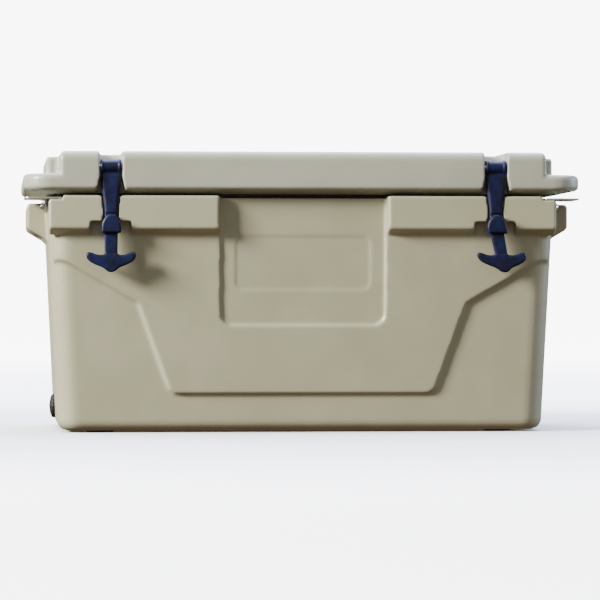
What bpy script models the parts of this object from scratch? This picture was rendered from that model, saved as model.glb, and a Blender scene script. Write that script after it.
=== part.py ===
"""Rotomoulded cooler chest: foam-filled body and lid, rubber T-latches, corner lock plates and a drain.

The chest stands on four rubber feet. Its front faces -Y, +Z is up, and the origin is on the
floor below the middle of the bounding box. The driving sizes are in millimetres and are turned to
metres as each mesh is made.
"""

import math

import bmesh
import bpy
from mathutils import Matrix, Vector

MM = 0.001
GAP = 0.3  # air between pieces that touch
STICK = 2.0  # how far joined shapes run into each other
BEYOND = 40.0  # how far a cutter runs past the face it cuts

# Body moulding: half sizes at the rim, narrower at the floor by the draft.
RIM_Z = 331.0
BASE_Z = 2.5
DRAFT = math.tan(math.radians(2.7))
BODY_HALF_X = 361.5
BODY_FRONT = -190.0
BODY_BACK = 192.0
SHIELD_PROUD = 6.0
CORNER_R = 30.0
BASE_R = 14.0
SKIN = 5.0
BASE_SKIN = 8.0
WALL = 36.0
FLOOR_Z = 40.0
FLOOR_R = 20.0
TUB_DRAFT = math.tan(math.radians(2.0))
TUB_CORNER_R = 26.0

# Raised shield, sunk centre panel and badge flat on the front wall.
SHIELD = [
    (-400.0, 400.0), (-400.0, 280.0), (-345.0, 250.0), (-231.0, 184.0), (-185.0, 57.0),
    (185.0, 57.0), (231.0, 184.0), (345.0, 250.0), (400.0, 280.0), (400.0, 400.0),
]
SHIELD_CORNER_R = 14.0
PANEL_HALF_X = 117.0
PANEL_FLOOR_Z = 151.6
PANEL_R = 17.0
PANEL_SUNK = 4.0
BADGE_HALF_X = 97.0
BADGE_Z = (200.0, 279.0)
BADGE_R = 12.0
BADGE_SUNK = 1.0

# Latch keeper blocks at the top of the front wall.
BLOCK_X = (117.0, 359.0)
BLOCK_Z = (287.5, 334.0)
BLOCK_FRONT = -209.0
BLOCK_BACK = -185.8
BLOCK_R = 2.4
BLOCK_END_R = 6.0
SHOULDER_X = 339.0
SHOULDER_Z = 328.5
CHANNEL = [(14.2, 350), (14.2, 335), (12.6, 330.5), (10.4, 309), (12.4, 297.5), (29.0, 297.5), (29.0, 270)]
CHANNEL_FLOOR = -191.5

# Carrying lugs on the end walls.
LUG_HALF_Y = 125.0
LUG_PROFILE = [
    (345, 324.5), (385.5, 324.5), (388.5, 321.5), (388.5, 291), (385, 287), (364.5, 275), (359.5, 270), (356, 261), (345, 254),
]
LUG_POCKET_X = (364.5, 377.5)
LUG_POCKET_HALF_Y = 72.0
LUG_POCKET_TOP = 306.0

# Rear hinges: one arm of the lid between two knuckles of the body, twice.
HINGE_Y = 213.0
HINGE_Z = 327.0
HINGE_X = 215.0
KNUCKLE_R = 10.0
ARM_HALF = 25.0
KNUCKLE_OUT = 50.0
PIN_R = 4.0
PIN_HALF = 52.0

# Lid moulding.
LID_HALF_X = 395.0
LID_FRONT = -215.0
LID_BACK = 203.0
LID_CORNER_R = 38.0
LID_UNDER_Z = 336.0
LIP_LOW_Z = 342.5
LIP_TOP_Z = 364.5
LIP_R = 7.0
LID_TOP_Z = 396.0
CROWN_HALF_X = 344.0
CROWN_R = 11.0
CROWN_CORNER_R = 6.0
BOSS_HALF_X = 362.0
BOSS_Y = (-152.0, 140.0)
BOSS_TOP_Z = 390.0
PLUG_Z = 317.0
PLUG_CLEAR = 5.0
STRAP_HALF = 16.0
STRAP_DEEP = 4.2
SEAT_HALF_X = 228.0
SEAT_Y = (-172.0, 168.0)
SEAT_DEEP = 2.0
SEAL_WIDTH = 10.0
SEAL_HALF_X = 346.0
SEAL_HALF_Y = 182.0
SEAL_DEEP = 4.0
LID_FOAM_X = 333.0
LID_FOAM_Y = (-170.0, 188.0)

# Rubber latches.
LATCH_X = 272.0
LATCH_Y = -204.0
LATCH_Z = 374.0
ROLLER_R = 11.0
ROLLER_HALF = 15.0
LATCH_PIN_R = 3.0
LATCH_PIN_HALF = 25.0
RECESS_FLOOR = -191.0
STRAP = [(12.5, 374), (12.4, 357), (11.2, 342), (10.2, 330), (8.7, 310), (8.3, 250)]
STRAP_Y = (-211.0, -204.0)
ANCHOR = [
    (5.0, 262), (12, 250), (33, 253.5), (35.5, 251.5), (34, 246), (27, 240.5), (12, 233), (4, 227), (0, 225.5),
]
ANCHOR_Y = (-218.0, -208.0)
HOOK = [(14.0, 280.5), (14.0, 290), (12.8, 296.5), (9.6, 302.5), (5.0, 307.5)]
HOOK_Y = (-223.0, -210.6)
TAIL_LEAN = {"left": 0.0, "right": 12.0}
TAIL_TOP_Z = 289.0

# Corner lock plates with a bottle opener, bent from steel sheet.
PLATE_THICK = 2.5
PLATE_X = (340.5, 393.0)
PLATE_Y = (-207.0, -128.0)
FLANGE_Y = (-163.0, -129.0)
FLANGE_LOW_Z = 311.0
LOCK_HOLE = (376.0, -188.0)
LOCK_HOLE_R = 6.5
OPENER_X = (366.0, 384.0)
OPENER_Y = (-166.0, -148.0)
SCREW_Y = (-155.0, -137.0)
SCREW_Z = 320.0
SCREW_R = 2.2
SCREW_LONG = 14.0
SCREW_HEAD_R = 6.5
SCREW_HEAD = 5.5

# Drain in a round recess at the left end.
DRAIN_Z = 33.0
DRAIN_PAD_X = -339.0
DRAIN_RECESS_R = 22.5
DRAIN_BORE_R = 12.3
SUMP_X = (-318.0, -268.0)
SUMP_HALF_Y = 22.0
SUMP_Z = 20.0
SPOUT_FLANGE_R = 20.0
SPOUT_FLANGE = 3.0
SPOUT_BORE_R = 8.8
SPOUT_IN_X = -306.0
PLUG_STEM_R = 8.4
PLUG_STEM = 14.0
PLUG_CAP_R = 17.5
PLUG_CAP = 7.0
PLUG_DOME = 3.5
WASHER_R = 16.0
WASHER_THICK = 2.0

# Feet and foam ports.
FOOT_X = 285.0
FOOT_Y = 130.0
FOOT_R = 20.0
FOOT_THICK = 6.0
FOOT_SCREW_R = 2.5
PORT_R = 13.0
PORT_X = 120.0
PORT_FLANGE = 2.0

PLASTIC = ("rotomoulded_polyethylene", (0.43, 0.40, 0.31), 0.5, 0.0)
RUBBER = ("latch_rubber", (0.016, 0.02, 0.05), 0.45, 0.0)
DARK_RUBBER = ("black_rubber", (0.02, 0.02, 0.02), 0.6, 0.0)
FOAM = ("polyurethane_foam", (0.72, 0.66, 0.42), 0.9, 0.0)
STEEL = ("stainless_steel", (0.62, 0.63, 0.64), 0.3, 1.0)
DARK_PLASTIC = ("drain_nylon", (0.03, 0.03, 0.03), 0.4, 0.0)


def clear_scene():
    for obj in list(bpy.data.objects):
        bpy.data.objects.remove(obj)


def material(spec):
    """A Principled material made once for each finish."""
    name, colour, roughness, metallic = spec
    found = bpy.data.materials.get(name)
    if found:
        return found
    made = bpy.data.materials.new(name)
    made.use_nodes = True
    shader = made.node_tree.nodes["Principled BSDF"]
    shader.inputs["Base Color"].default_value = (*colour, 1.0)
    shader.inputs["Roughness"].default_value = roughness
    shader.inputs["Metallic"].default_value = metallic
    return made


def piece(name, bm, finish=None, smooth=True):
    """Turns a bmesh in millimetres into an object in metres. With no finish it is a hidden tool."""
    bmesh.ops.recalc_face_normals(bm, faces=bm.faces)
    bmesh.ops.scale(bm, vec=Vector((MM, MM, MM)), verts=bm.verts)
    mesh = bpy.data.meshes.new(name)
    bm.to_mesh(mesh)
    bm.free()
    if smooth:
        mesh.shade_smooth()
        mesh.set_sharp_from_angle(angle=math.radians(35))
    obj = bpy.data.objects.new(name, mesh)
    bpy.context.scene.collection.objects.link(obj)
    if finish:
        mesh.materials.append(material(finish))
    else:
        obj.hide_render = True
        obj.display_type = "WIRE"
    return obj


def combine(target, operation, *tools):
    """Adds one exact Boolean to target for each tool."""
    for tool in tools:
        step = target.modifiers.new(f"{operation.lower()} {tool.name}", "BOOLEAN")
        step.operation = operation
        step.solver = "EXACT"
        step.object = tool


def arc(centre, radius, start, end, steps):
    """Points on a circle arc, in degrees, both ends included."""
    angles = [math.radians(start + (end - start) * i / steps) for i in range(steps + 1)]
    return [(centre[0] + radius * math.cos(a), centre[1] + radius * math.sin(a)) for a in angles]


def rounded_box_outline(low, high, radius, steps=7):
    """A rounded rectangle, anticlockwise, from its low and high corners."""
    (x0, y0), (x1, y1) = low, high
    return (
        arc((x1 - radius, y0 + radius), radius, -90, 0, steps)
        + arc((x1 - radius, y1 - radius), radius, 0, 90, steps)
        + arc((x0 + radius, y1 - radius), radius, 90, 180, steps)
        + arc((x0 + radius, y0 + radius), radius, 180, 270, steps)
    )


def rounded_corners(points, radius, steps=4):
    """The polygon with each corner replaced by an arc of the radius."""
    made = []
    count = len(points)
    for i, point in enumerate(points):
        here = Vector(point)
        before = (Vector(points[i - 1]) - here).normalized()
        after = (Vector(points[(i + 1) % count]) - here).normalized()
        half = before.angle(after) / 2
        reach = radius / math.tan(half)
        centre = here + (before + after).normalized() * radius / math.sin(half)
        first = here + before * reach - centre
        last = here + after * reach - centre
        for k in range(steps + 1):
            made.append(tuple(centre + first.lerp(last, k / steps).normalized() * radius))
    return made


def grown(points, distance):
    """The polygon, anticlockwise, with every edge moved outwards by distance."""
    made = []
    count = len(points)
    for i, point in enumerate(points):
        here = Vector(point)
        before = (here - Vector(points[i - 1])).normalized()
        after = (Vector(points[(i + 1) % count]) - here).normalized()
        out_before = Vector((before.y, -before.x))
        out_after = Vector((after.y, -after.x))
        mitre = (out_before + out_after).normalized()
        made.append(tuple(here + mitre * distance / max(0.3, mitre.dot(out_after))))
    return made


def loft(name, sections, finish=None, smooth=True):
    """A closed solid through outlines of equal length, each a list of 3-D points."""
    bm = bmesh.new()
    loops = []
    for section in sections:
        verts = [bm.verts.new(p) for p in section]
        edges = [bm.edges.new((verts[i - 1], verts[i])) for i in range(len(verts))]
        loops.append((verts, edges))
    for (_, low), (_, high) in zip(loops, loops[1:]):
        bmesh.ops.bridge_loops(bm, edges=low + high)
    bm.faces.new(loops[0][0])
    bm.faces.new(loops[-1][0])
    return piece(name, bm, finish, smooth)


def standing(outline, z):
    """A flat outline in X and Y lifted to height z."""
    return [(x, y, z) for x, y in outline]


def prism_y(name, outline, y0, y1, finish=None):
    """An outline in X and Z swept along Y."""
    return loft(name, [[(x, y, z) for x, z in outline] for y in (y0, y1)], finish)


def prism_x(name, outline, x0, x1, finish=None):
    """An outline in Y and Z swept along X."""
    return loft(name, [[(x, y, z) for y, z in outline] for x in (x0, x1)], finish)


def prism_z(name, outline, z0, z1, finish=None):
    """An outline in X and Y swept along Z."""
    return loft(name, [standing(outline, z) for z in (z0, z1)], finish)


def box(name, low, high, radius=0.0, finish=None, segments=2):
    """A box from its low and high corners, with all its edges rounded if a radius is given."""
    bm = bmesh.new()
    size = Vector(high) - Vector(low)
    middle = (Vector(high) + Vector(low)) / 2
    place = Matrix.Translation(middle) @ Matrix.Diagonal((*size, 1.0))
    bmesh.ops.create_cube(bm, size=1.0, matrix=place)
    if radius:
        bmesh.ops.bevel(
            bm, geom=bm.edges[:], offset=radius, segments=segments, profile=0.5, affect="EDGES", material=-1
        )
    return piece(name, bm, finish)


def turned(name, profile, axis, centre, finish=None, steps=32):
    """A solid of revolution. The profile is (along, radius) pairs, and axis is "X" or "Z"."""
    bm = bmesh.new()
    rings = []
    for along, radius in profile:
        ring = []
        for k in range(steps):
            angle = 2 * math.pi * k / steps
            across = (radius * math.cos(angle), radius * math.sin(angle))
            spot = (along, *across) if axis == "X" else (*across, along)
            ring.append(tuple(Vector(centre) + Vector(spot)))
        rings.append(ring)
    loops = [[bm.verts.new(p) for p in ring] for ring in rings]
    for low, high in zip(loops, loops[1:]):
        for k in range(steps):
            bm.faces.new((low[k - 1], low[k], high[k], high[k - 1]))
    if len(rings) > 2 and rings[0] == rings[-1]:
        bmesh.ops.remove_doubles(bm, verts=bm.verts, dist=1e-4)
    else:
        bm.faces.new(loops[0])
        bm.faces.new(loops[-1])
    return piece(name, bm, finish)


def ring(name, low, high, inner, outer, axis, centre, finish=None, steps=32):
    """A flat ring with a square section, between low and high along its axis."""
    profile = [(low, inner), (low, outer), (high, outer), (high, inner), (low, inner)]
    return turned(name, profile, axis, centre, finish, steps)


def rod(name, radius, start, end, axis, centre, finish=None, steps=24, chamfer=0.0):
    """A round bar between start and end along its axis."""
    if not chamfer:
        return turned(name, [(start, radius), (end, radius)], axis, centre, finish, steps)
    thin = radius - chamfer
    profile = [(start, thin), (start + chamfer, radius), (end - chamfer, radius), (end, thin)]
    return turned(name, profile, axis, centre, finish, steps)


def mirrored(points):
    """A half outline of (half width, height) pairs, closed by its mirror image."""
    return [(x, z) for x, z in points] + [(-x, z) for x, z in reversed(points) if abs(x) > 1e-6]


# ---------------------------------------------------------------- body


def body_section(z, inset, front):
    """The body's outline at height z, moved inwards by inset, with its front wall at front."""
    lean = (RIM_Z - z) * DRAFT + inset
    radius = max(6.0, CORNER_R - inset)
    low = (-BODY_HALF_X + lean, front + lean)
    high = (BODY_HALF_X - lean, BODY_BACK - lean)
    return standing(rounded_box_outline(low, high, radius), z)


def body_block(name, inset, base, top, base_radius, front, finish=None):
    """The drafted body shape with a round lower edge, from height base to height top."""
    sections = []
    for k in range(5):
        angle = math.radians(90 * k / 4)
        tuck = base_radius * (1 - math.sin(angle))
        z = base + base_radius * (1 - math.cos(angle))
        sections.append(body_section(z, inset + tuck, front))
    sections.append(body_section(top, inset, front))
    return loft(name, sections, finish)


def tub_block(name, grow, floor, top, finish=None):
    """The hollow that holds the load, or that hollow made larger by grow."""
    sections = []
    radius = FLOOR_R + grow
    for k in range(5):
        angle = math.radians(90 * k / 4)
        tuck = radius * (1 - math.sin(angle))
        z = floor + radius * (1 - math.cos(angle))
        sections.append((z, tuck))
    sections.append((top, 0.0))
    outlines = []
    for z, tuck in sections:
        lean = (RIM_Z - z) * TUB_DRAFT + tuck - grow + WALL
        low = (-BODY_HALF_X + lean, BODY_FRONT + lean)
        high = (BODY_HALF_X - lean, BODY_BACK - lean)
        outlines.append(standing(rounded_box_outline(low, high, TUB_CORNER_R + grow), z))
    return loft(name, outlines, finish)


def front_wall_point(x, z, proud):
    """A point over the drafted front wall, standing proud of it by proud."""
    return (x, BODY_FRONT + (RIM_Z - z) * DRAFT - proud, z)


def front_relief(name, outline, proud_in, proud_out, spread):
    """A shape over the front wall that widens by spread from its outer to its inner face."""
    inner = [front_wall_point(x, z, proud_in) for x, z in grown(outline, spread)]
    outer = [front_wall_point(x, z, proud_out) for x, z in outline]
    return loft(name, [inner, outer])


def shield_parts():
    """The raised shield on the front wall, cut to the body's own rounded outline."""
    outline = rounded_corners(SHIELD, SHIELD_CORNER_R, 3)
    shield = front_relief("tool_shield", outline, -10.0, SHIELD_PROUD + 1.0, 12.0)
    envelope = body_block("tool_envelope", 0.0, BASE_Z, RIM_Z, BASE_R, BODY_FRONT - SHIELD_PROUD)
    combine(shield, "INTERSECT", envelope)
    return shield


def panel_tools():
    """Cutters for the sunk centre panel and for the shallow badge flat in it."""
    depth = SHIELD_PROUD - PANEL_SUNK
    top = RIM_Z + BEYOND
    panel = rounded_corners(
        [(-PANEL_HALF_X, top), (-PANEL_HALF_X, PANEL_FLOOR_Z), (PANEL_HALF_X, PANEL_FLOOR_Z), (PANEL_HALF_X, top)],
        PANEL_R,
    )
    badge = rounded_corners(
        [
            (-BADGE_HALF_X, BADGE_Z[1]),
            (-BADGE_HALF_X, BADGE_Z[0]),
            (BADGE_HALF_X, BADGE_Z[0]),
            (BADGE_HALF_X, BADGE_Z[1]),
        ],
        BADGE_R,
    )
    return [
        front_relief("tool_panel", grown(panel, 3.0), depth, BEYOND / 2, -3.0),
        front_relief("tool_badge", badge, depth - BADGE_SUNK, BEYOND / 2, -1.0),
    ]


def keeper_block(side):
    """One latch keeper block, sloped underneath, with its latch channel and notch."""
    label = "left" if side < 0 else "right"
    top, low = BLOCK_Z[1], BLOCK_Z[0]
    profile = [(BLOCK_BACK, top), (BLOCK_FRONT, top), (BLOCK_FRONT, low), (-192.5, low - 9.0), (BLOCK_BACK, low - 9.0)]
    profile = rounded_corners(profile, BLOCK_R, 3)
    sections = []
    for x, inward, radius in ((BLOCK_X[0], 1, BLOCK_END_R), (BLOCK_X[1], -1, BLOCK_R)):
        ends = []
        for k in range(4):
            angle = math.radians(90 * k / 3)
            spot = x + inward * radius * (1 - math.sin(angle))
            inset = BLOCK_R * (1 - math.cos(angle))
            ends.append([(side * spot, y, z) for y, z in grown(profile, -inset)])
        sections += ends[::-1] if inward > 0 else ends
    block = loft(f"tool_block_{label}", sections)
    outline = [(side * LATCH_X + x, z) for x, z in mirrored(CHANNEL)]
    channel = prism_y(f"tool_channel_{label}", outline, BLOCK_FRONT - BEYOND, CHANNEL_FLOOR)
    combine(block, "DIFFERENCE", channel)
    return block


def shoulder_tool(side):
    """Cuts the low corner that the lock plate lies in, across the block and the rim."""
    label = "left" if side < 0 else "right"
    xs = sorted((side * SHOULDER_X, side * (BODY_HALF_X + BEYOND)))
    low = (xs[0], BLOCK_FRONT - BEYOND, SHOULDER_Z)
    high = (xs[1], PLATE_Y[1] + 1.0, RIM_Z + BEYOND)
    return box(f"tool_shoulder_{label}", low, high)


def lug(side):
    """One carrying lug with a finger pocket open below."""
    label = "left" if side < 0 else "right"
    outline = [(side * x, z) for x, z in LUG_PROFILE]
    made = prism_y(f"tool_lug_{label}", outline, -LUG_HALF_Y, LUG_HALF_Y)
    xs = sorted(side * x for x in LUG_POCKET_X)
    pocket_low = (xs[0], -LUG_POCKET_HALF_Y, LUG_PROFILE[-1][1] - BEYOND)
    pocket_high = (xs[1], LUG_POCKET_HALF_Y, LUG_POCKET_TOP)
    pocket = box(f"tool_lug_pocket_{label}", pocket_low, pocket_high, 5.0)
    combine(made, "DIFFERENCE", pocket)
    return made


def hinge_profile(attach):
    """A knuckle outline in Y and Z: round the pin, then back to the points in attach."""
    start, end, points = attach
    return arc((HINGE_Y, HINGE_Z), KNUCKLE_R, start, end, 10) + points


def body_knuckles():
    """The body's four hinge knuckles."""
    wall = BODY_BACK - STICK * 2
    outline = hinge_profile((-40, 100, [(wall, 329.0), (wall - 2.0, 280.0)]))
    made = []
    for side in (-1, 1):
        for end in (-1, 1):
            xs = sorted((side * HINGE_X + end * (ARM_HALF + 0.6), side * HINGE_X + end * KNUCKLE_OUT))
            made.append(prism_x(f"tool_knuckle_{side}_{end}", outline, *xs))
    return made


def hinge_bores():
    """Cutters for the hinge pins' holes, shared by the body and the lid."""
    return [
        rod(f"tool_hinge_bore_{side}", PIN_R + GAP, -PIN_HALF - 8, PIN_HALF + 8, "X", (side * HINGE_X, HINGE_Y, HINGE_Z))
        for side in (-1, 1)
    ]


def drain_block(name, gap, finish=None):
    """The solid corner of the wall that the drain passes through, made larger by gap."""
    low = (-BODY_HALF_X - BEYOND if gap else -341.0, -30.0 - gap, 0.0 if gap else 6.0)
    high = (-255.0 + gap, 30.0 + gap, 64.0 + gap)
    return box(name, low, high, finish=finish)


def drain_cutters():
    """The outer recess, the bore through the wall and the sump that leads to it."""
    recess = rod("tool_drain_recess", DRAIN_RECESS_R, -BODY_HALF_X - BEYOND, DRAIN_PAD_X, "X", (0, 0, DRAIN_Z))
    bore = rod("tool_drain_bore", DRAIN_BORE_R, DRAIN_PAD_X - BEYOND, SUMP_X[0] + 8.0, "X", (0, 0, DRAIN_Z))
    sump = box(
        "tool_sump", (SUMP_X[0], -SUMP_HALF_Y, SUMP_Z), (SUMP_X[1], SUMP_HALF_Y, FLOOR_Z + FLOOR_R + 4.0), 6.0
    )
    return recess, bore, sump


def screw_holes(name_prefix, extra):
    """Holes for the lock plate screws, with extra radius."""
    holes = []
    for side in (-1, 1):
        for y in SCREW_Y:
            start, end = sorted((side * (BODY_HALF_X - SCREW_LONG), side * (BODY_HALF_X + BEYOND)))
            holes.append(rod(f"{name_prefix}_{side}_{int(-y)}", SCREW_R + extra, start, end, "X", (0, y, SCREW_Z), steps=12))
    return holes


def feet_places():
    """Where the four feet are, by name."""
    return {
        f"{depth}_{side}": (sx * FOOT_X, sy * FOOT_Y)
        for depth, sy in (("front", -1), ("rear", 1))
        for side, sx in (("left", -1), ("right", 1))
    }


def build_body():
    """The body moulding, its foam and the plugs of its foam ports."""
    body = body_block("body_shell", 0.0, BASE_Z, RIM_Z, BASE_R, BODY_FRONT, PLASTIC)
    combine(body, "UNION", shield_parts())
    combine(body, "UNION", keeper_block(-1), keeper_block(1), lug(-1), lug(1), *body_knuckles())
    combine(body, "DIFFERENCE", *panel_tools(), shoulder_tool(-1), shoulder_tool(1), *hinge_bores())
    combine(body, "DIFFERENCE", tub_block("tool_tub", 0.0, FLOOR_Z, RIM_Z + BEYOND))

    hollow = body_block("tool_hollow", SKIN, BASE_Z + BASE_SKIN, RIM_Z - SKIN, BASE_R - SKIN, BODY_FRONT)
    combine(hollow, "DIFFERENCE", tub_block("tool_hollow_tub", SKIN, FLOOR_Z - SKIN, RIM_Z + BEYOND))
    combine(hollow, "DIFFERENCE", drain_block("tool_hollow_drain", 0.001))
    combine(body, "DIFFERENCE", hollow)
    combine(body, "DIFFERENCE", *drain_cutters(), *screw_holes("tool_screw_hole", GAP))

    for name, (x, y) in feet_places().items():
        pocket = rod(f"tool_foot_pocket_{name}", FOOT_R + GAP, -10, FOOT_THICK + GAP, "Z", (x, y, 0))
        pilot = rod(f"tool_foot_pilot_{name}", FOOT_SCREW_R + GAP, -10, 14, "Z", (x, y, 0), steps=12)
        combine(body, "DIFFERENCE", pocket, pilot)
    for side in (-1, 1):
        port = rod(f"tool_port_{side}", PORT_R, -10, BASE_Z + BASE_SKIN + 2.0, "Z", (side * PORT_X, 0, 0))
        combine(body, "DIFFERENCE", port)

    build_foam(body)
    for label, side in (("left", -1), ("right", 1)):
        centre = (side * PORT_X, 0, 0)
        low = BASE_Z + 0.5
        rod(f"body_port_plug_{label}", PORT_R - GAP, low, BASE_Z + BASE_SKIN - GAP, "Z", centre, DARK_PLASTIC, chamfer=1.0)
    return body


def build_foam(body):
    """The insulation that fills the body's hollow."""
    inset = SKIN + GAP
    foam = body_block("body_foam", inset, BASE_Z + BASE_SKIN + GAP, RIM_Z - SKIN - GAP, BASE_R - inset, BODY_FRONT, FOAM)
    combine(foam, "DIFFERENCE", tub_block("tool_foam_tub", inset, FLOOR_Z - inset, RIM_Z + BEYOND))
    combine(foam, "DIFFERENCE", drain_block("tool_foam_drain", GAP), *screw_holes("tool_foam_screw", 1.0))
    for name, (x, y) in feet_places().items():
        combine(foam, "DIFFERENCE", rod(f"tool_foam_pilot_{name}", 3.5, 0, 16, "Z", (x, y, 0), steps=12))


# ---------------------------------------------------------------- lid


def lid_section(z, inset_x, inset_y):
    """The lid's outline at height z, moved inwards."""
    low = (-LID_HALF_X + inset_x, LID_FRONT + inset_y)
    high = (LID_HALF_X - inset_x, LID_BACK - inset_y)
    radius = LID_CORNER_R - min(inset_x, inset_y)
    return standing(rounded_box_outline(low, high, radius), z)


def lid_crown():
    """The raised crown of the lid with a rounded top edge."""
    half = CROWN_HALF_X
    sections = [standing(crown_outline(half, 0.0), LIP_TOP_Z - 18.0)]
    for k in range(5):
        angle = math.radians(90 * k / 4)
        inset = CROWN_R * (1 - math.cos(angle))
        sections.append(standing(crown_outline(half, inset), LID_TOP_Z - CROWN_R * (1 - math.sin(angle))))
    return loft("tool_crown", sections)


def crown_outline(half, inset):
    """The crown's plan, moved inwards by inset, less at its ends."""
    low = (-half + inset * 0.6, LID_FRONT + inset)
    high = (half - inset * 0.6, LID_BACK - inset)
    return rounded_box_outline(low, high, CROWN_CORNER_R - inset * 0.4, 5)


def end_bosses():
    """A low ribbed boss beside each end of the crown, where a tie-down strap can bear."""
    made = []
    for side in (-1, 1):
        xs = sorted((side * (CROWN_HALF_X - 12.0), side * BOSS_HALF_X))
        low, high = (xs[0], BOSS_Y[0], LIP_TOP_Z - 12.0), (xs[1], BOSS_Y[1], BOSS_TOP_Z)
        boss = box(f"tool_boss_{side}", low, high, 4.0, segments=3)
        for k in range(3):
            x = side * (CROWN_HALF_X + 7.0 + 9.0 * k)
            groove = rod(f"tool_groove_{side}_{k}", 2.0, LIP_TOP_Z + 3.0, BOSS_TOP_Z - 7.0, "Z", (x, BOSS_Y[0], 0), steps=8)
            combine(boss, "DIFFERENCE", groove)
        made.append(boss)
    return made


def latch_recess(side):
    """Cuts the latch's pocket in the lid's front and the strap channel over its top."""
    label = "left" if side < 0 else "right"
    centre = side * LATCH_X
    top = LID_TOP_Z + BEYOND
    front = LID_FRONT - BEYOND
    sides = [(front, 300.0), (RECESS_FLOOR, 300.0), (RECESS_FLOOR, 377.0), (-180.0, LID_TOP_Z - STRAP_DEEP)]
    channel = sides + [(LID_BACK + BEYOND, LID_TOP_Z - STRAP_DEEP), (LID_BACK + BEYOND, top), (front, top)]
    strap = prism_x(f"tool_strap_{label}", channel, centre - STRAP_HALF, centre + STRAP_HALF)
    flare = mirrored([(STRAP_HALF - 0.5, 362.0), (STRAP_HALF + 3.5, 344.0), (STRAP_HALF + 4.5, 318.0)])
    mouth = prism_y(f"tool_mouth_{label}", [(centre + x, z) for x, z in flare], front, RECESS_FLOOR)
    return [strap, mouth]


def lid_arms():
    """The two hinge arms of the lid."""
    outline = hinge_profile((180, 360, [(LID_BACK + 6.0, 356.0), (LID_BACK - 4.0, 361.0), (LID_BACK - 6.0, 343.0)]))
    return [
        prism_x(f"tool_arm_{side}", outline, side * HINGE_X - ARM_HALF, side * HINGE_X + ARM_HALF) for side in (-1, 1)
    ]


def seal_ring(name, grow, low, high, finish=None):
    """The seal's rounded rectangle, or its groove when it is made larger by grow."""
    outer = rounded_box_outline(
        (-SEAL_HALF_X - grow, -SEAL_HALF_Y - grow), (SEAL_HALF_X + grow, SEAL_HALF_Y + grow), 26.0 + grow
    )
    inner_x, inner_y = SEAL_HALF_X - SEAL_WIDTH - grow, SEAL_HALF_Y - SEAL_WIDTH - grow
    inner = rounded_box_outline((-inner_x, -inner_y), (inner_x, inner_y), 16.0 - grow)
    made = prism_z(name, outer, low, high, finish)
    combine(made, "DIFFERENCE", prism_z(f"{name}_middle".replace("lid_", "tool_"), inner, low - BEYOND, high + BEYOND))
    return made


def lid_hollow(name, inset, finish=None):
    """The lid's foam space: a wide upper part and a narrower part inside the plug."""
    half_x, (front, back) = LID_FOAM_X - inset, LID_FOAM_Y
    wide = rounded_box_outline((-half_x, front + inset), (half_x, back - inset), 20.0)
    plug_x = BODY_HALF_X - WALL - PLUG_CLEAR - SKIN - inset - 2.0
    plug_y = (BODY_FRONT + WALL + PLUG_CLEAR + SKIN + inset + 2.0, BODY_BACK - WALL - PLUG_CLEAR - SKIN - inset - 2.0)
    slim = rounded_box_outline((-plug_x, plug_y[0]), (plug_x, plug_y[1]), 20.0)
    low, high = PLUG_Z + SKIN + inset, LID_TOP_Z - STRAP_DEEP - SKIN - inset
    sections = [standing(slim, low), standing(slim, 338.0), standing(wide, 345.0 + inset), standing(wide, high)]
    return loft(name, sections, finish)


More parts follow.
